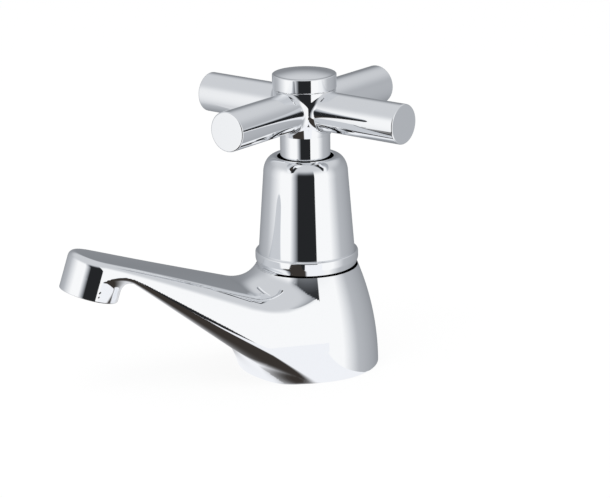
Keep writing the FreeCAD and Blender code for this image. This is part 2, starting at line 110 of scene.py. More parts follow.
def vary_roughness(tree, shader, value, low, high):
    spread = tree.nodes.new("ShaderNodeMapRange")
    spread.inputs["From Min"].default_value = 0.35
    spread.inputs["From Max"].default_value = 0.7
    spread.inputs["To Min"].default_value = low
    spread.inputs["To Max"].default_value = high
    tree.links.new(value, spread.inputs["Value"])
    tree.links.new(spread.outputs["Result"], shader.inputs["Roughness"])


def add_bump(tree, shader, height, distance, strength):
    bump = tree.nodes.new("ShaderNodeBump")
    bump.inputs["Distance"].default_value = distance
    bump.inputs["Strength"].default_value = strength
    tree.links.new(height, bump.inputs["Height"])
    tree.links.new(bump.outputs["Normal"], shader.inputs["Normal"])


chrome, chrome_tree, chrome_shader = new_material("polished_chrome", PLATE_COLOUR, 1.0, PLATE_ROUGHNESS[0])
vary_roughness(chrome_tree, chrome_shader, noise_of(chrome_tree, WIPE_SCALE, 5), *PLATE_ROUGHNESS)
add_bump(chrome_tree, chrome_shader, noise_of(chrome_tree, POLISH_SCALE, 1), POLISH_DEPTH, POLISH_STRENGTH)


def hollow_join(a, b, radius):
    """Union of two distances, with a round hollow between them."""
    deep = np.hypot(np.maximum(radius - a, 0), np.maximum(radius - b, 0))
    return np.maximum(radius, np.minimum(a, b)) - deep


def round_corner(a, b, radius):
    """What two distances share, with a round edge."""
    outside = np.hypot(np.maximum(a + radius, 0), np.maximum(b + radius, 0))
    return outside + np.minimum(np.maximum(a, b) + radius, 0) - radius


spout_origin = Vector((0, -SPOUT_REACH, SPOUT_TOP_Z + SPOUT_REACH * math.tan(SPOUT_RISE)))
spout_place = Matrix.Translation(spout_origin) @ Matrix.Rotation(-SPOUT_RISE, 4, "X")
spout_back = np.array(spout_place.inverted())


def body_distance(points):
    """Distance in millimetres to the outside of the casting, below zero inside it."""
    x, y, z = points.T
    bell_r = FOOT_R - BELL_ARC_R + np.sqrt(BELL_ARC_R ** 2 - z ** 2)
    bell = np.hypot(np.hypot(x, y) - (FOOT_R - BELL_ARC_R), z) - BELL_ARC_R
    local = points @ spout_back[:3, :3].T + spout_back[:3, 3]
    side, inward = np.abs(local[:, 0]), local[:, 1]
    run = np.clip(inward, 0, None)
    tip = np.hypot(side, inward) - NOZZLE_R
    narrow = NOZZLE_R / math.cos(FLANK_FLARE) + run * math.tan(FLANK_FLARE)
    root = (bell_r + y * math.sin(ROOT_FLARE)) / math.cos(ROOT_FLARE)
    bend = np.clip(ROOT_SOFTNESS - np.abs(narrow - root), 0, None)
    half_width = np.maximum(narrow, root) + bend ** 2 / (4 * ROOT_SOFTNESS)
    flank = (side - half_width) * math.cos(FLANK_FLARE)
    plan = np.where(inward > 0, flank, tip)
    depth = -local[:, 2] - TOP_CROWN * side ** 2
    keel_depth = np.maximum(KEEL_START_DEPTH + (inward - NOZZLE_R) * KEEL_SLOPE, KEEL_LEAST_DEPTH)
    keel = (-local[:, 2] - keel_depth) * KEEL_COSINE
    nozzle = np.maximum(tip, -local[:, 2] - NOZZLE_H - NOZZLE_SPARE)
    lower = hollow_join(nozzle, keel, NOZZLE_HOLLOW_R)
    upper = hollow_join(-depth, bell, NECK_HOLLOW_R)
    sides = round_corner(plan, lower, np.interp(inward, *KEEL_EDGE))
    spout = round_corner(upper, sides, np.interp(inward, *TOP_EDGE))
    past_tangent = y + bell_r * math.sin(ROOT_FLARE)
    spout = np.maximum(spout, past_tangent)
    near_keel = np.clip(1 + (-local[:, 2] - keel_depth) / KEEL_HOLLOW_REACH, 0, 1)
    near_front = np.clip(-past_tangent / FRONT_FADE, 0, 1)
    return hollow_join(spout, bell, KEEL_HOLLOW_R * near_keel * near_front + SEAM_R)


def slope_of(distance, points, step=0.01):
    """Unit normals of a distance's surface, and how steep it is there."""
    gradient = np.empty_like(points)
    for axis in range(3):
        shift = np.zeros(3)
        shift[axis] = step
        gradient[:, axis] = (distance(points + shift) - distance(points - shift)) / (2 * step)
    length = np.linalg.norm(gradient, axis=1)
    return gradient / np.maximum(length, 1e-9)[:, None], length


def skin(distance, low, high, grid):
    """Quads where the distance is zero, with one corner for each grid cell that the surface crosses."""
    axes = [np.arange(low[k], high[k] + grid, grid) for k in range(3)]
    nodes = np.stack(np.meshgrid(*axes, indexing="ij"), -1)
    shape = nodes.shape[:3]
    values = distance(nodes.reshape(-1, 3)).reshape(shape)
    total = np.zeros([n - 1 for n in shape] + [3])
    count = np.zeros([n - 1 for n in shape])
    crossings = []
    for axis in range(3):
        near = tuple(slice(None, -1) if k == axis else slice(None) for k in range(3))
        far = tuple(slice(1, None) if k == axis else slice(None) for k in range(3))
        a, b = values[near], values[far]
        crossed = (a < 0) != (b < 0)
        share = np.where(crossed, a / np.where(crossed, a - b, 1), 0)
        spot = nodes[near] + share[..., None] * (nodes[far] - nodes[near])
        crossings.append((crossed, a < 0))
        u, v = [k for k in range(3) if k != axis]
        for du in (0, 1):
            for dv in (0, 1):
                part = [slice(None)] * 3
                part[u] = slice(du, shape[u] - 1 + du)
                part[v] = slice(dv, shape[v] - 1 + dv)
                part = tuple(part)
                total += np.where(crossed[part][..., None], spot[part], 0)
                count += crossed[part]
    used = count > 0
    number = np.full(used.shape, -1)
    number[used] = np.arange(used.sum())
    points = total[used] / count[used][:, None]
    quads = []
    for axis in range(3):
        crossed, inside = crossings[axis]
        u, v = (axis + 1) % 3, (axis + 2) % 3
        where = np.argwhere(crossed)
        keep = (where[:, u] > 0) & (where[:, v] > 0)
        keep &= (where[:, u] < shape[u] - 1) & (where[:, v] < shape[v] - 1)
        where = where[keep]
        outward = inside[tuple(where.T)]
        corners = []
        for du, dv in ((-1, -1), (0, -1), (0, 0), (-1, 0)):
            cell = where.copy()
            cell[:, u] += du
            cell[:, v] += dv
            corners.append(number[tuple(cell.T)])
        quad = np.stack(corners, 1)
        quad[~outward] = quad[~outward][:, ::-1]
        quads.append(quad)
    for _ in range(4):
        normal, length = slope_of(distance, points)
        points = points - normal * (distance(points) / np.maximum(length, 0.3))[:, None]
    return points, np.concatenate(quads)


def cut_skin(distance, points, quads, planes):
    """Cuts the skin with planes, each a point, an outward normal and a reach, into a shell and its loops."""
    mesh = bpy.data.meshes.new("skin")
    mesh.from_pydata(points.tolist(), [], quads.tolist())
    bm = bmesh.new()
    bm.from_mesh(mesh)
    bpy.data.meshes.remove(mesh)
    loops = []
    for place, normal, reach in planes:
        near = [f for f in bm.faces if (f.calc_center_median() - place).length < reach]
        near = list({v for f in near for v in f.verts}) + list({e for f in near for e in f.edges}) + near
        bmesh.ops.bisect_plane(bm, geom=near, plane_co=place, plane_no=normal, clear_outer=True, dist=0.02)
    bmesh.ops.delete(bm, geom=[v for v in bm.verts if not v.link_faces], context="VERTS")
    bm.verts.index_update()
    corners = [v.co[:] for v in bm.verts]
    normals = slope_of(distance, np.array(corners))[0].tolist()
    faces = [[v.index for v in f.verts] for f in bm.faces]
    for place, normal, reach in planes:
        follow = {}
        for edge in bm.edges:
            off = [v.co - place for v in edge.verts]
            far = [arm for arm in off if abs(arm.dot(normal)) > 0.03 or arm.length > reach]
            if edge.is_boundary and not far:
                order = [v.index for v in edge.link_faces[0].verts]
                a, b = (v.index for v in edge.verts)
                if order[(order.index(a) + 1) % len(order)] != b:
                    a, b = b, a
                follow[b] = a
        start = next(iter(follow))
        loop = [start]
        while follow[loop[-1]] != start:
            loop.append(follow[loop[-1]])
        loops.append(loop)
    bm.free()
    return (corners, normals, faces), loops


def inset_rings(shell, loop, centre, axis, steps):
    """Rings that go on from an open edge. A step is the inset, the height and the normal's angle."""
    corners, normals, faces = shell
    arms = [Vector(corners[k]) - centre for k in loop]
    arms = [arm - axis * arm.dot(axis) for arm in arms]
    last = loop
    for inset, height, angle in steps:
        first = len(corners)
        for arm in arms:
            out = arm.normalized()
            corners.append((centre + out * (arm.length - inset) + axis * height)[:])
            normals.append((out * math.cos(angle) + axis * math.sin(angle))[:])
        ring = list(range(first, len(corners)))
        for k in range(len(ring)):
            m = (k + 1) % len(ring)
            faces.append((last[k], last[m], ring[m], ring[k]))
        last = ring
    return last


def close_flat(shell, ring, centre, axis):
    """Closes a ring with a flat fan."""
    corners, normals, faces = shell
    corners.append(centre[:])
    normals.append(axis[:])
    tip = len(corners) - 1
    faces.extend((ring[k], ring[(k + 1) % len(ring)], tip) for k in range(len(ring)))


def edge_steps(radius, parts=4):
    steps = []
    for k in range(1, parts + 1):
        angle = k * math.pi / 2 / parts
        steps.append((radius * (1 - math.cos(angle)), radius * math.sin(angle), angle))
    return steps


def soften(profile, parts=4):
    """Profile of (r, z, corner radius) as (r, z, normal's angle), with its corners rounded off."""
    out = []
    for k, (r, z, radius) in enumerate(profile):
        here = Vector((r, z))
        before = here - Vector(profile[k - 1][:2]) if k else None
        after = Vector(profile[k + 1][:2]) - here if k + 1 < len(profile) else None
        a = math.atan2(before.y, before.x) if before else math.atan2(after.y, after.x)
        b = math.atan2(after.y, after.x) if after else a
        turn = (b - a + math.pi) % (2 * math.pi) - math.pi
        if abs(turn) < 1e-6 or not before or not after:
            out.append((r, z, a - math.pi / 2))
            continue
        if not radius:
            out.append((r, z, a + turn / 2 - math.pi / 2))
            continue
        cut = min(radius * abs(math.tan(turn / 2)), 0.48 * before.length, 0.48 * after.length)
        radius = cut / abs(math.tan(turn / 2))
        start = here - before.normalized() * cut
        side = math.copysign(1, turn)
        middle = start + Vector((-before.y, before.x)).normalized() * radius * side
        for m in range(parts + 1):
            way = a + turn * m / parts - math.pi / 2
            spot = middle + Vector((math.cos(way), math.sin(way))) * radius * side
            out.append((spot.x, spot.y, way))
    return out


def turn_strip(shell, profile, place=Matrix.Identity(4), steps=TURNED_STEPS):
    """Turns an open profile of (r, z, normal's angle) and returns its first and last ring."""
    corners, normals, faces = shell
    rings = []
    spin = place.to_3x3()
    for r, z, way in profile:
        if rings and math.dist((r, z), profile[0][:2]) < 1e-6:
            rings.append(rings[0])
            continue
        first = len(corners)
        if r < 1e-6:
            corners.append((place @ Vector((0, 0, z)))[:])
            normals.append((spin @ Vector((0, 0, math.copysign(1, math.sin(way)))))[:])
        else:
            for k in range(steps):
                turn = 2 * math.pi * k / steps
                c, s = math.cos(turn), math.sin(turn)
                corners.append((place @ Vector((r * c, r * s, z)))[:])
                out = Vector((math.cos(way) * c, math.cos(way) * s, math.sin(way)))
                normals.append((spin @ out)[:])
        rings.append(list(range(first, len(corners))))
    for a, b in zip(rings, rings[1:]):
        for k in range(steps):
            m = (k + 1) % steps
            quad = [a[k % len(a)], a[m % len(a)], b[m % len(b)], b[k % len(b)]]
            faces.append(list(dict.fromkeys(quad)))
    return rings[0], rings[-1]


def zip_rings(shell, outer, inner, centre, axis):
    """Fills the flat between two rings that have different numbers of corners and the same direction."""
    corners, normals, faces = shell
    base = axis.orthogonal().normalized()
    across = axis.cross(base)

    def angle(k):
        arm = Vector(corners[k]) - centre
        return math.atan2(arm.dot(across), arm.dot(base)) % (2 * math.pi)

    def sorted_ring(ring):
        return sorted((angle(k), k) for k in ring)

    a, b = sorted_ring(outer), sorted_ring(inner)
    a.append((a[0][0] + 2 * math.pi, a[0][1]))
    b.append((b[0][0] + 2 * math.pi, b[0][1]))
    i = j = 0
    while i + 1 < len(a) or j + 1 < len(b):
        if j + 1 == len(b) or (i + 1 < len(a) and a[i + 1][0] < b[j + 1][0]):
            faces.append((a[i][1], a[i + 1][1], b[j][1]))
            i += 1
        else:
            faces.append((a[i][1], b[j + 1][1], b[j][1]))
            j += 1


def piece_of(name, shell, material):
    """Mesh object in metres from a shell in millimetres, its faces turned to the side of their normals."""
    corners, normals, faces = shell
    where, way = np.array(corners), np.array(normals)
    first, second, third = (where[[face[k] for face in faces]] for k in range(3))
    across = np.cross(second - first, third - first)
    out = sum(way[[face[k] for face in faces]] for k in range(3))
    faces = [face if side > 0 else face[::-1] for face, side in zip(faces, (across * out).sum(1))]
    mesh = bpy.data.meshes.new(name)
    mesh.from_pydata((where * MM).tolist(), [], faces)
    for polygon in mesh.polygons:
        polygon.use_smooth = True
    mesh.normals_split_custom_set_from_vertices(normals)
    mesh.materials.append(material)
    piece = bpy.data.objects.new(name, mesh)
    bpy.context.scene.collection.objects.link(piece)
    return piece


def turned_piece(name, profile, material, place=Matrix.Identity(4)):
    """Turned piece. Its profile of (r, z, corner radius) ends where it starts, or at the axis."""
    shell = ([], [], [])
    turn_strip(shell, soften(profile), place)
    return piece_of(name, shell, material)


body_low = (-FOOT_R - 3, -SPOUT_REACH - 2 * NOZZLE_R, -1.0)
body_high = (FOOT_R + 3, FOOT_R + 3, spout_origin.z + 5)
body_skin = skin(body_distance, body_low, body_high, BODY_GRID)
nozzle_axis = spout_place.to_3x3() @ Vector((0, 0, -1))
rim = spout_origin + nozzle_axis * (NOZZLE_H - RIM_EDGE_R)
up = Vector((0, 0, 1))
body_shell, (foot_loop, neck_loop, rim_loop) = cut_skin(
    body_distance, *body_skin,
    [(up * FOOT_EDGE_R, -up, 200), (up * BELL_H, up, 25), (rim, nozzle_axis, 14)])
foot_ring = inset_rings(body_shell, foot_loop, up * FOOT_EDGE_R, -up, edge_steps(FOOT_EDGE_R))
rim_ring = inset_rings(body_shell, rim_loop, rim, nozzle_axis, edge_steps(RIM_EDGE_R))
band_in, band_out, band_top = GASKET_BAND
inside = [
    (band_out + 0.5, 0, 0), (band_out, 0, 0.2), (band_out, band_top, 0.3), (band_in, band_top, 0.3),
    (band_in, 0, 0.2), (TAIL_SOCKET[0], 0, 0.5), (TAIL_SOCKET[0], TAIL_SOCKET[1], 0.2),
    (SEAT[0], TAIL_SOCKET[1], 0.3), (SEAT[0], SEAT[2], 0.3), (SEAT[1], SEAT[2], 0.3),
    (SEAT[1], CHAMBER[1], 0.3),
    (CHAMBER[0], CHAMBER[1], 0.3), (CHAMBER[0], NECK_TOP, 0.3), (NECK_R, NECK_TOP, 0.4),
    (NECK_R, BELL_H, 0.2), (NECK_R + 0.5, BELL_H, 0)]
first, last = turn_strip(body_shell, soften(inside))
zip_rings(body_shell, foot_ring, first, Vector(), -up)
zip_rings(body_shell, neck_loop, last, up * BELL_H, up)
bore = [
    (OUTLET_R + 0.4, -NOZZLE_H, 0), (OUTLET_R, -NOZZLE_H, 0.2), (OUTLET_R, -OUTLET_ROOF, 0.4),
    (0, -OUTLET_ROOF, 0)]
first, last = turn_strip(body_shell, soften(bore), spout_place)
zip_rings(body_shell, rim_ring, first, spout_origin + nozzle_axis * NOZZLE_H, nozzle_axis)
casting = piece_of("tap_body", body_shell, chrome)
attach(casting, "body")
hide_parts("body")


# Shroud: thin turned brass cover with a beaded foot and a rounded shoulder, plated like the body.
# It screws over the neck and hides the headwork.
BEAD_R = 17.15
BEAD_FOOT_R = 16.4
BEAD_TOP = 39.5
BEAD_EDGE_R = 1.2
CONE_FOOT_R = 16.0
CONE_TOP = (14.05, 66.0)
SHOULDER_TOP = (10.2, 71.8)
MOUTH_R = 9.4
WALL = 1.4
SHROUD_BORE_R = 14.25
shoulder = []
for k in range(25):
    angle = math.pi / 2 * k / 24
    shoulder.append((
        SHOULDER_TOP[0] + (CONE_TOP[0] - SHOULDER_TOP[0]) * math.cos(angle),
        CONE_TOP[1] + (SHOULDER_TOP[1] - CONE_TOP[1]) * math.sin(angle), 0))
shroud_profile = [
    (SHROUD_BORE_R, 37.0, 0), (SHROUD_BORE_R, BELL_H, 0.3), (BEAD_FOOT_R, BELL_H, 0.25),
    (BEAD_R, BELL_H + 2.6, 2.5), (BEAD_R, BEAD_TOP, BEAD_EDGE_R), (CONE_FOOT_R, BEAD_TOP, 0.12)]
shroud_profile += shoulder + [
    (MOUTH_R, SHOULDER_TOP[1] - 0.1, 0.25), (MOUTH_R, SHOULDER_TOP[1] - WALL, 0.3),
    (CONE_TOP[0] - WALL, CONE_TOP[1] - WALL, 1.0), (CONE_FOOT_R - WALL, NECK_TOP, 0.3),
    (SHROUD_BORE_R, NECK_TOP, 0.2), (SHROUD_BORE_R, 37.0, 0)]
cover = turned_piece("tap_shroud", shroud_profile, chrome)
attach(cover, "body")
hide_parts("shroud")


# Cross handle: hub, four round arms and a sleeve in one brass casting, polished and plated.
# The sleeve goes down into the shroud's mouth, and the hub is bored for the spindle and recessed for the cap.
SLEEVE_R = 8.3
SLEEVE_FOOT_Z = 65.0
HUB_FOOT = (8.6, 79.3)
HUB_MID = (10.2, 87.9)
HUB_TOP = (10.4, 94.6)
ARM_R = 6.6
ARM_REACH = 40.3
ARM_TURN = math.radians(30.0)
ARM_HOLLOW_R = 1.1
ARM_EDGE_R = 0.5
HANDLE_GRID = 0.45
CAP_RECESS = (8.45, 91.0)
SPLINE = (4.05, 78.0, 88.0)
SCREW_HOLE_R = 2.05
SLEEVE_BORE_R = 7.1


def circle_through(a, b, c):
    """Centre and radius of the circle through three points of (r, z)."""
    ax, ay, bx, by = b[0] - a[0], b[1] - a[1], c[0] - a[0], c[1] - a[1]
    d = 2 * (ax * by - ay * bx)
    p, q = ax * ax + ay * ay, bx * bx + by * by
    x, y = (by * p - ay * q) / d, (ax * q - bx * p) / d
    return a[0] + x, a[1] + y, math.hypot(x, y)


hub_r, hub_z, hub_arc = circle_through(HUB_FOOT, HUB_MID, HUB_TOP)


def handle_distance(points):
    x, y, z = points.T
    hub = np.hypot(np.hypot(x, y) - hub_r, z - hub_z) - hub_arc
    cross = np.full(len(points), 1e3)
    for turn in (ARM_TURN, ARM_TURN + math.pi / 2):
        beside = x * math.cos(turn) + y * math.sin(turn)
        cross = np.minimum(cross, np.hypot(beside, z - HUB_MID[1]) - ARM_R)
    return hollow_join(hub, cross, ARM_HOLLOW_R)


arm_ways = [ARM_TURN + k * math.pi / 2 for k in range(4)]
arm_ways = [Vector((math.sin(t), -math.cos(t), 0)) for t in arm_ways]
handle_half = ARM_REACH + 2
handle_skin = skin(
    handle_distance, (-handle_half, -handle_half, 78.5), (handle_half, handle_half, 95.6), HANDLE_GRID)
arm_middle = up * HUB_MID[1]
handle_shell, handle_loops = cut_skin(
    handle_distance, *handle_skin,
    [(up * HUB_FOOT[1], -up, 200), (up * HUB_TOP[1], up, 200)]
    + [(arm_middle + way * (ARM_REACH - ARM_EDGE_R), way, 15) for way in arm_ways])
for way, loop in zip(arm_ways, handle_loops[2:]):
    root = arm_middle + way * (ARM_REACH - ARM_EDGE_R)
    ring = inset_rings(handle_shell, loop, root, way, edge_steps(ARM_EDGE_R))
    close_flat(handle_shell, ring, arm_middle + way * ARM_REACH, way)
handle_bores = [
    (SLEEVE_R + 0.15, HUB_FOOT[1], 0), (SLEEVE_R, HUB_FOOT[1], 0.1), (SLEEVE_R, SLEEVE_FOOT_Z, 0.4),
    (SLEEVE_BORE_R, SLEEVE_FOOT_Z, 0.2), (SLEEVE_BORE_R, SPLINE[1], 0.3), (SPLINE[0], SPLINE[1], 0.3),
    (SPLINE[0], SPLINE[2], 0.2), (SCREW_HOLE_R, SPLINE[2], 0.2), (SCREW_HOLE_R, CAP_RECESS[1] - 0.5, 0.2),
    (CAP_RECESS[0], CAP_RECESS[1] - 0.5, 0.3), (CAP_RECESS[0], HUB_TOP[1], 0.2),
    (CAP_RECESS[0] + 0.5, HUB_TOP[1], 0)]
first, last = turn_strip(handle_shell, soften(handle_bores))
zip_rings(handle_shell, handle_loops[0], first, up * HUB_FOOT[1], -up)
zip_rings(handle_shell, handle_loops[1], last, up * HUB_TOP[1], up)
handle = piece_of("tap_cross_handle", handle_shell, chrome)
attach(handle, "handle")
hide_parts("cross_handle")


# Cap: turned brass disc with a low dome, polished and plated, that hides the handle's screw.
# Its spigot and soft ring snap into the hub's recess.
CAP_R = 10.6
CAP_SIDE_TOP = 99.4
CAP_EDGE_R = 0.8
CAP_DOME = 1.6
CAP_SPIGOT = (8.4, 91.2)
CAP_GROOVE = (7.2, 92.15, 93.45)
CAP_HOLLOW = (5.6, 96.6)
CAP_LIFT = 0.12
dome_half = CAP_R - CAP_EDGE_R
dome_r = (dome_half ** 2 + CAP_DOME ** 2) / (2 * CAP_DOME)
dome = []
for k in range(1, 25):
    r = dome_half * (1 - k / 24)
    dome.append((r, CAP_SIDE_TOP + CAP_DOME - dome_r + math.sqrt(dome_r ** 2 - r ** 2), 0))
cap_profile = [
    (0, CAP_HOLLOW[1], 0), (CAP_HOLLOW[0], CAP_HOLLOW[1], 0.4), (CAP_HOLLOW[0], CAP_SPIGOT[1], 0.2),
    (CAP_SPIGOT[0], CAP_SPIGOT[1], 0.3), (CAP_SPIGOT[0], CAP_GROOVE[1], 0.1),
    (CAP_GROOVE[0], CAP_GROOVE[1], 0.1), (CAP_GROOVE[0], CAP_GROOVE[2], 0.1),
    (CAP_SPIGOT[0], CAP_GROOVE[2], 0.1),
    (CAP_SPIGOT[0], HUB_TOP[1] + CAP_LIFT, 0.1), (CAP_R, HUB_TOP[1] + CAP_LIFT, 0.3),
    (CAP_R, CAP_SIDE_TOP + 0.06, CAP_EDGE_R), (dome_half, CAP_SIDE_TOP + 0.06, 0.4)] + dome
cap = turned_piece("tap_cap", cap_profile, chrome)
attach(cap, "handle")
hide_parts("index_cap")


# Turned brass inside the shroud and below the deck: headwork, gland nut, spindle, jumper and backnut.
# They are left as machined, dull yellow with fine tool marks.
BRASS_COLOUR = (0.62, 0.43, 0.17, 1)
brass, brass_tree, brass_shader = new_material("turned_brass", BRASS_COLOUR, 1.0, 0.28)
vary_roughness(brass_tree, brass_shader, noise_of(brass_tree, 400.0, 4), 0.2, 0.38)
add_bump(brass_tree, brass_shader, noise_of(brass_tree, 900.0, 3), 0.0001, 0.15)


def dress(names, material):
    """Gives nodes that keep the frame's mesh their material."""
    for name in names:
        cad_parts[name].data.materials.clear()
        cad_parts[name].data.materials.append(material)


dress(("headwork_body", "packing_washer", "gland_nut", "spindle"), brass)
dress(("jumper_valve", "jumper_nut", "backnut"), brass)


# Tail: brass tube turned from bar, with a half-inch pipe thread rolled on it, screwed into the body's foot.
# A groove parts the supply thread from the backnut's thread. It is left as machined.
TAIL_R = 10.478
TAIL_CORE_R = 9.35
TAIL_PITCH = 1.814
TAIL_ENDS = (-50.0, 12.0)
TAIL_GROOVE = (-30.0, 1.0, 9.3)
TAIL_BORE_R = 7.0
TAIL_END_R = 9.478
TAIL_STEPS = 96
TAIL_ROWS = 340


def node_of(tree, kind, **settings):
    node = tree.nodes.new(kind)
    for name, value in settings.items():
        setattr(node, name, value)
    return node


def calculate(tree, operation, *values):
    """Math node whose inputs are numbers or sockets."""
    node = node_of(tree, "ShaderNodeMath", operation=operation)
    for k, value in enumerate(values):
        if isinstance(value, (int, float)):
            node.inputs[k].default_value = value
        else:
            tree.links.new(value, node.inputs[k])
    return node.outputs[0]


def run_nodes(name, tree, values):
    """Plain mesh that a node tree makes from the given input values."""
    holder = bpy.data.objects.new(name, bpy.data.meshes.new(name))
    bpy.context.scene.collection.objects.link(holder)
    modifier = holder.modifiers.new("nodes", "NODES")
    modifier.node_group = tree
    for item in tree.interface.items_tree:
        if item.item_type == "SOCKET" and item.in_out == "INPUT" and item.name in values:
            modifier[item.identifier] = values[item.name]
    bpy.context.view_layer.update()
    made = holder.evaluated_get(bpy.context.evaluated_depsgraph_get())
    mesh = bpy.data.meshes.new_from_object(made)
    holder.modifiers.remove(modifier)
    bpy.data.objects.remove(holder)
    return mesh


thread = bpy.data.node_groups.new("pipe_thread", "GeometryNodeTree")
for name in ("Crest radius", "Core radius", "Pitch", "Foot", "Length", "End radius", "Groove middle",
             "Groove half", "Groove radius"):
    thread.interface.new_socket(name, in_out="INPUT", socket_type="NodeSocketFloat")
thread.interface.new_socket("Steps", in_out="INPUT", socket_type="NodeSocketInt")
thread.interface.new_socket("Rows", in_out="INPUT", socket_type="NodeSocketInt")
thread.interface.new_socket("Metal", in_out="INPUT", socket_type="NodeSocketMaterial")
thread.interface.new_socket("Tube", in_out="OUTPUT", socket_type="NodeSocketGeometry")
given = thread.nodes.new("NodeGroupInput").outputs
sheet = node_of(thread, "GeometryNodeMeshGrid")
sheet.inputs["Size X"].default_value = 2 * math.pi
thread.links.new(given["Length"], sheet.inputs["Size Y"])
thread.links.new(given["Steps"], sheet.inputs["Vertices X"])
thread.links.new(given["Rows"], sheet.inputs["Vertices Y"])
spot = thread.nodes.new("ShaderNodeSeparateXYZ")
thread.links.new(thread.nodes.new("GeometryNodeInputPosition").outputs[0], spot.inputs[0])
angle = spot.outputs["X"]
height = calculate(thread, "ADD", spot.outputs["Y"], calculate(
    thread, "ADD", given["Foot"], calculate(thread, "MULTIPLY", given["Length"], 0.5)))
turns = calculate(thread, "SUBTRACT", calculate(thread, "DIVIDE", height, given["Pitch"]), calculate(
    thread, "DIVIDE", angle, 2 * math.pi))
flank = calculate(thread, "PINGPONG", turns, 0.5)
rounded = node_of(thread, "ShaderNodeMapRange", interpolation_type="SMOOTHSTEP")
rounded.inputs["From Min"].default_value = 0.02
rounded.inputs["From Max"].default_value = 0.48
thread.links.new(flank, rounded.inputs["Value"])
thread.links.new(given["Core radius"], rounded.inputs["To Min"])
thread.links.new(given["Crest radius"], rounded.inputs["To Max"])
chamfer = calculate(thread, "ADD", given["End radius"], calculate(
    thread, "SUBTRACT", height, given["Foot"]))
beside = calculate(thread, "SUBTRACT", calculate(thread, "ABSOLUTE", calculate(
    thread, "SUBTRACT", height, given["Groove middle"])), given["Groove half"])
groove = calculate(thread, "ADD", given["Groove radius"], calculate(thread, "MAXIMUM", beside, 0.0))
radius = calculate(thread, "MINIMUM", rounded.outputs["Result"], calculate(
    thread, "MINIMUM", chamfer, groove))
rolled = thread.nodes.new("ShaderNodeCombineXYZ")
for operation, axis in (("COSINE", "X"), ("SINE", "Y")):
    across = calculate(thread, "MULTIPLY", radius, calculate(thread, operation, angle))
    thread.links.new(across, rolled.inputs[axis])
thread.links.new(height, rolled.inputs["Z"])
place = thread.nodes.new("GeometryNodeSetPosition")
thread.links.new(sheet.outputs["Mesh"], place.inputs["Geometry"])
thread.links.new(rolled.outputs[0], place.inputs["Position"])
weld = thread.nodes.new("GeometryNodeMergeByDistance")
weld.inputs["Distance"].default_value = 0.00001
thread.links.new(place.outputs["Geometry"], weld.inputs["Geometry"])
smooth = thread.nodes.new("GeometryNodeSetShadeSmooth")
thread.links.new(weld.outputs["Geometry"], smooth.inputs["Geometry"])
real = thread.nodes.new("GeometryNodeRealizeInstances")
thread.links.new(smooth.outputs["Geometry"], real.inputs["Geometry"])
metal = thread.nodes.new("GeometryNodeSetMaterial")
thread.links.new(real.outputs["Geometry"], metal.inputs["Geometry"])
thread.links.new(given["Metal"], metal.inputs["Material"])
thread.links.new(metal.outputs["Geometry"], thread.nodes.new("NodeGroupOutput").inputs["Tube"])
tail_mesh = run_nodes("pipe_thread", thread, {
    "Crest radius": TAIL_R * MM, "Core radius": TAIL_CORE_R * MM, "Pitch": TAIL_PITCH * MM,
    "Foot": TAIL_ENDS[0] * MM, "Length": (TAIL_ENDS[1] - TAIL_ENDS[0]) * MM, "End radius": TAIL_END_R * MM,
    "Groove middle": TAIL_GROOVE[0] * MM, "Groove half": TAIL_GROOVE[1] * MM,
    "Groove radius": TAIL_GROOVE[2] * MM,
    "Steps": TAIL_STEPS + 1, "Rows": TAIL_ROWS, "Metal": brass})
bore_shell = ([], [], [])
turn_strip(bore_shell, soften([
    (TAIL_CORE_R, TAIL_ENDS[1], 0), (TAIL_BORE_R, TAIL_ENDS[1], 0.3), (TAIL_BORE_R, TAIL_ENDS[0], 0.5),
    (TAIL_END_R, TAIL_ENDS[0], 0)]), steps=TAIL_STEPS)
bore = piece_of("tap_tail", bore_shell, brass)
joined = bmesh.new()
joined.from_mesh(bore.data)
joined.from_mesh(tail_mesh)
bmesh.ops.remove_doubles(joined, verts=joined.verts, dist=0.00002)
bmesh.ops.recalc_face_normals(joined, faces=joined.faces)
plain = bpy.data.meshes.new("tap_tail_mesh")
joined.to_mesh(plain)
joined.free()
plain.materials.append(brass)
bore.data = plain
for polygon in plain.polygons:
    polygon.use_smooth = True
plain.set_sharp_from_angle(angle=math.radians(40))
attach(bore, "body")
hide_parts("inlet_tail")


# Soft rings, washers and gaskets: black rubber moulded to shape, red fibre pressed flat and pale packing.
# They are clamped between the brass pieces or sit in grooves.
rubber, rubber_tree, rubber_shader = new_material("black_rubber", (0.02, 0.02, 0.022, 1), 0.0, 0.6)
vary_roughness(rubber_tree, rubber_shader, noise_of(rubber_tree, 700.0, 4), 0.5, 0.75)
add_bump(rubber_tree, rubber_shader, noise_of(rubber_tree, 1500.0, 3), 0.0001, 0.2)
fibre, fibre_tree, fibre_shader = new_material("red_fibre", (0.3, 0.06, 0.035, 1), 0.0, 0.8)
vary_roughness(fibre_tree, fibre_shader, noise_of(fibre_tree, 900.0, 5), 0.7, 0.95)
add_bump(fibre_tree, fibre_shader, noise_of(fibre_tree, 2500.0, 5), 0.0001, 0.35)
packing, packing_tree, packing_shader = new_material("soft_packing", (0.72, 0.7, 0.64, 1), 0.0, 0.7)
vary_roughness(packing_tree, packing_shader, noise_of(packing_tree, 1200.0, 5), 0.6, 0.9)
add_bump(packing_tree, packing_shader, noise_of(packing_tree, 3000.0, 4), 0.0001, 0.4)
dress(("tap_washer", "cap_o_ring", "straightener_o_ring", "base_gasket"), rubber)
dress(("headwork_gasket", "tail_seal"), fibre)
dress(("gland_packing",), packing)


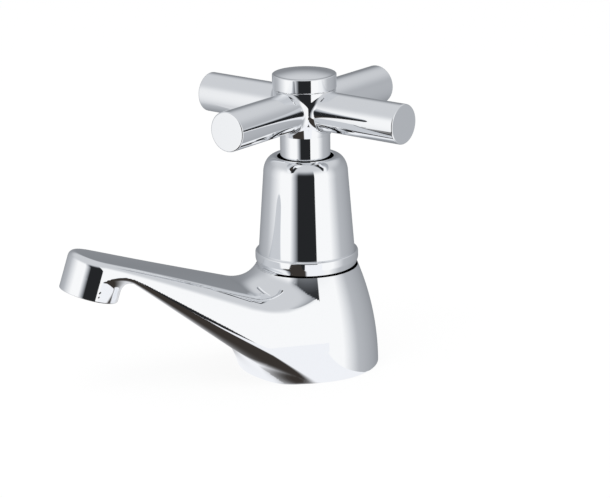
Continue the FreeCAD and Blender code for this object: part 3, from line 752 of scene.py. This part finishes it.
# Flow straightener and deck washer: injection moulded in pale plastic.
# The first is pushed into the nozzle, and the second slides up the tail under the deck.
plastic, plastic_tree, plastic_shader = new_material("moulded_plastic", (0.75, 0.75, 0.72, 1), 0.0, 0.4)
vary_roughness(plastic_tree, plastic_shader, noise_of(plastic_tree, 500.0, 3), 0.35, 0.5)
add_bump(plastic_tree, plastic_shader, noise_of(plastic_tree, 1800.0, 2), 0.00005, 0.2)
dress(("flow_straightener", "deck_washer"), plastic)


# Handle screw and its washer: plain steel, cold formed and stamped, the head with a hexagon socket.
# They hold the handle down on the spindle, under the cap.
steel, steel_tree, steel_shader = new_material("plain_steel", (0.5, 0.5, 0.51, 1), 1.0, 0.3)
vary_roughness(steel_tree, steel_shader, noise_of(steel_tree, 600.0, 4), 0.22, 0.4)
add_bump(steel_tree, steel_shader, noise_of(steel_tree, 1600.0, 2), 0.00005, 0.2)
dress(("handle_screw", "screw_washer"), steel)


# Floor: a pale board with a hole for the tail, level with the foot.
# It takes the tap's soft shadow, and only the camera sees it glow.
FLOOR_COLOUR = (0.9, 0.9, 0.9, 1)
FLOOR_HOLE_R = 0.0175
FLOOR_R = 3.0
FLOOR_STEPS = 96
FLOOR_GLOW = 0.9
floor_mesh = bpy.data.meshes.new("floor")
floor_corners = []
floor_faces = []
for r in (FLOOR_HOLE_R, FLOOR_R):
    for k in range(FLOOR_STEPS):
        turn = 2 * math.pi * k / FLOOR_STEPS
        floor_corners.append((r * math.cos(turn), r * math.sin(turn), 0))
for k in range(FLOOR_STEPS):
    m = (k + 1) % FLOOR_STEPS
    floor_faces.append((k, FLOOR_STEPS + k, FLOOR_STEPS + m, m))
floor_mesh.from_pydata(floor_corners, [], floor_faces)
floor_material, floor_tree, floor_shader = new_material("pale_floor", FLOOR_COLOUR, 0.0, 0.9)
floor_output = floor_tree.nodes["Material Output"]
floor_path = floor_tree.nodes.new("ShaderNodeLightPath")
floor_white = floor_tree.nodes.new("ShaderNodeEmission")
floor_mix = floor_tree.nodes.new("ShaderNodeMixShader")
floor_seen = floor_tree.nodes.new("ShaderNodeMath")
floor_seen.operation = "MULTIPLY"
floor_seen.inputs[1].default_value = FLOOR_GLOW
floor_tree.links.new(floor_path.outputs["Is Camera Ray"], floor_seen.inputs[0])
floor_tree.links.new(floor_seen.outputs["Value"], floor_mix.inputs["Fac"])
floor_tree.links.new(floor_shader.outputs["BSDF"], floor_mix.inputs[1])
floor_tree.links.new(floor_white.outputs["Emission"], floor_mix.inputs[2])
floor_tree.links.new(floor_mix.outputs["Shader"], floor_output.inputs["Surface"])
floor_mesh.materials.append(floor_material)
floor = bpy.data.objects.new("floor", floor_mesh)
bpy.context.scene.collection.objects.link(floor)
floor.visible_glossy = False


# Studio: soft lamp, white room and a round tent whose cloth only the chrome's reflections see.
# The cloth is white at the sides, grey behind and above, and has a dark gap before the tap.
world = bpy.data.worlds.new("studio")
bpy.context.scene.world = world
world.use_nodes = True
room = world.node_tree.nodes["Background"]
room.inputs["Color"].default_value = (1, 1, 1, 1)
room.inputs["Strength"].default_value = 1.0
VIEW_AZIMUTH = 68.0
TENT_R = 0.9
TENT_MIDDLE = 0.05
CLOTH_WHITE = 1.0
SIDE_GREY = 0.5
REAR_GREY = 0.25
ROOF_GREY = 0.65
LOW_GREY = 0.35
GAP_DARK = 0.02
FRONT_GAP = (-20, 23)
WHITE_UP_TO = (-70, 60)
GREY_FROM = (-110, 90)
GAP_SOFT, GAP_SHARP = 20, 1
ROOF_FROM, ROOF_FULL = 15, 45
LOW_FROM, LOW_FULL = 40, 80
TENT_STEP = 4


def toward(azimuth, elevation):
    """Direction at an azimuth from the camera's, to the right seen from the camera, and at an elevation."""
    a, e = math.radians(azimuth + VIEW_AZIMUTH), math.radians(elevation)
    return Vector((math.sin(a) * math.cos(e), -math.cos(a) * math.cos(e), math.sin(e)))


def fade(value, low, high):
    t = min(max((value - low) / (high - low), 0), 1)
    return t * t * (3 - 2 * t)


def cloth(azimuth, elevation):
    """Grey of the tent: white side cloths, a dark gap before them, grey behind, a roof and a low part."""
    turns = (-180, GREY_FROM[0], WHITE_UP_TO[0], FRONT_GAP[0] - GAP_SOFT, *FRONT_GAP,
             FRONT_GAP[1] + GAP_SHARP, WHITE_UP_TO[1], GREY_FROM[1], 180)
    greys = (REAR_GREY, SIDE_GREY, CLOTH_WHITE, CLOTH_WHITE, GAP_DARK, GAP_DARK, CLOTH_WHITE,
             CLOTH_WHITE, SIDE_GREY, REAR_GREY)
    grey = float(np.interp(azimuth, turns, greys))
    roof = fade(elevation, ROOF_FROM, ROOF_FULL)
    low = fade(-elevation, LOW_FROM, LOW_FULL)
    return grey * (1 - roof) * (1 - low) + ROOF_GREY * roof + LOW_GREY * low


def glowing_sheet(name, points, faces, colours):
    """Sheet that only reflections see. Each corner has its own grey."""
    mesh = bpy.data.meshes.new(name)
    mesh.from_pydata([tuple(p) for p in points], [], faces)
    # Corner greys carry the tent's cloth and the table sheet's painted shadow and painted light.
    shade = mesh.attributes.new("cloth_and_painted_shadow_grey", "FLOAT_COLOR", "POINT")
    for k, colour in enumerate(colours):
        shade.data[k].color = (*colour, 1)
    material, tree, shader = new_material(name, (0.5, 0.5, 0.5, 1), 0.0, 1.0)
    glow = tree.nodes.new("ShaderNodeEmission")
    grey = tree.nodes.new("ShaderNodeAttribute")
    grey.attribute_name = "cloth_and_painted_shadow_grey"
    tree.links.new(grey.outputs["Color"], glow.inputs["Color"])
    tree.links.new(glow.outputs["Emission"], tree.nodes["Material Output"].inputs["Surface"])
    mesh.materials.append(material)
    sheet = bpy.data.objects.new(name, mesh)
    bpy.context.scene.collection.objects.link(sheet)
    sheet.visible_camera = False
    sheet.visible_diffuse = False
    sheet.visible_shadow = False
    return sheet


tent_azimuths = sorted({*range(-180, 181, TENT_STEP), *FRONT_GAP, FRONT_GAP[1] + GAP_SHARP})
tent_elevations = sorted({*range(-90, 91, TENT_STEP), 90})
tent_points, tent_colours, tent_faces = [], [], []
for azimuth in tent_azimuths:
    for elevation in tent_elevations:
        tent_points.append(toward(azimuth, elevation) * TENT_R + Vector((0, 0, TENT_MIDDLE)))
        grey = cloth(azimuth, elevation)
        tent_colours.append((grey * (0.94 + 0.06 * grey), grey, grey * (1.1 - 0.1 * grey)))
row = len(tent_elevations)
for k in range(len(tent_azimuths) - 1):
    for m in range(row - 1):
        n = k * row + m
        tent_faces.append((n, n + 1, n + row + 1, n + row))
glowing_sheet("tent", tent_points, tent_faces, tent_colours)

# The tap's own soft shadow on the pale table, painted into a glowing sheet: dark on the spout's side of a
# straight edge, painted light past it and near the foot, and a glowing white board.
# Greys of the painted shadow and of the painted light on the table sheet and its board.
PAINTED_SHADOW_GREY = np.array([0.042, 0.036, 0.032])
PAINTED_LIGHT_GREY = np.array([0.93, 0.94, 0.97])
SHADE_STEPS = 150
SHADE_CORNER = (-70, -120)
SHADE_SIZE = (190, 135)
SHADE_EDGE = (26, -9, -0.56)
SHADE_BLUR = 3
SHADE_PAST_EDGE = 4
PAINTED_LIGHT_LEFT = (-24, 34, 0.75)
PAINTED_FOOT_GLEAM_R = (25, 33)
PAINTED_FOOT_GLEAM_X = (16, 25)
TABLE_FRONT_X = 18
TABLE_Z = -0.5
NEAR_EDGE = 116
BOARD_TOP = 9
BOARD_TURNS = range(-4, 33, 4)


def past_edge(x, y):
    """How far a place on the table lies beyond the shadow's straight edge."""
    return y - SHADE_EDGE[1] - SHADE_EDGE[2] * (x - SHADE_EDGE[0])


shade_points, shade_colours, shade_faces = [], [], []
for k in range(SHADE_STEPS + 1):
    for m in range(SHADE_STEPS + 1):
        x = SHADE_CORNER[0] + SHADE_SIZE[0] * k / SHADE_STEPS
        y = SHADE_CORNER[1] + SHADE_SIZE[1] * m / SHADE_STEPS
        # Painted light past the edge, towards the left and in a patch before the foot; painted shadow
        # elsewhere.
        light = fade(past_edge(x, y), -SHADE_BLUR, SHADE_BLUR)
        light = max(light, PAINTED_LIGHT_LEFT[2] * fade(-x, *PAINTED_LIGHT_LEFT[:2]))
        near = 1 - fade(math.hypot(x, y), *PAINTED_FOOT_GLEAM_R)
        light = max(light, near * (1 - fade(x, *PAINTED_FOOT_GLEAM_X)))
        shade_points.append(Vector((x * MM, y * MM, TABLE_Z * MM)))
        shade_colours.append(PAINTED_SHADOW_GREY * (1 - light) + PAINTED_LIGHT_GREY * light)
for k in range(SHADE_STEPS):
    for m in range(SHADE_STEPS):
        n = k * (SHADE_STEPS + 1) + m
        spots = [n, n + 1, n + SHADE_STEPS + 2, n + SHADE_STEPS + 1]
        middle = sum((shade_points[i] for i in spots), Vector()) / 4 / MM
        before_foot = middle.x > TABLE_FRONT_X and math.hypot(middle.x, middle.y) < NEAR_EDGE
        if past_edge(middle.x, middle.y) < SHADE_PAST_EDGE or before_foot:
            shade_faces.append(spots)
# The white board at the near edge glows in the painted light's grey.
for azimuth in BOARD_TURNS:
    n = len(shade_points)
    for height in (TABLE_Z, BOARD_TOP):
        spot = toward(azimuth, 0) * NEAR_EDGE
        shade_points.append(Vector((spot.x * MM, spot.y * MM, height * MM)))
        shade_colours.append(PAINTED_LIGHT_GREY)
    if azimuth > BOARD_TURNS[0]:
        shade_faces.append((n - 2, n, n + 1, n - 1))
glowing_sheet("painted_table_shadow", shade_points, shade_faces, shade_colours)

lamp = bpy.data.lights.new("soft_top", "AREA")
lamp.shape = "DISK"
lamp.size = 0.8
lamp.energy = 6.0
lamp_object = bpy.data.objects.new("soft_top", lamp)
lamp_object.location = (0.35, -0.5, 1.2)
lamp_way = Vector((0, 0, TENT_MIDDLE)) - Vector(lamp_object.location)
lamp_object.rotation_euler = lamp_way.to_track_quat("-Z", "Y").to_euler()
lamp_object.visible_glossy = False
bpy.context.scene.collection.objects.link(lamp_object)


# Camera: a long lens, looking down a little from beside the spout, so that the spout points to the left.
# Its place and turn were fitted to the photograph's outline.
camera = bpy.data.cameras.new("camera")
camera.lens = 159.231
camera.sensor_width = 36.0
camera.clip_end = 20
camera_object = bpy.data.objects.new("camera", camera)
camera_object.location = (0.801156, -0.320450, 0.298517)
camera_object.rotation_euler = [math.radians(a) for a in (73.277272, 0.803384, 67.996138)]
bpy.context.scene.collection.objects.link(camera_object)
bpy.context.scene.camera = camera_object
bpy.context.scene.view_settings.view_transform = "Standard"
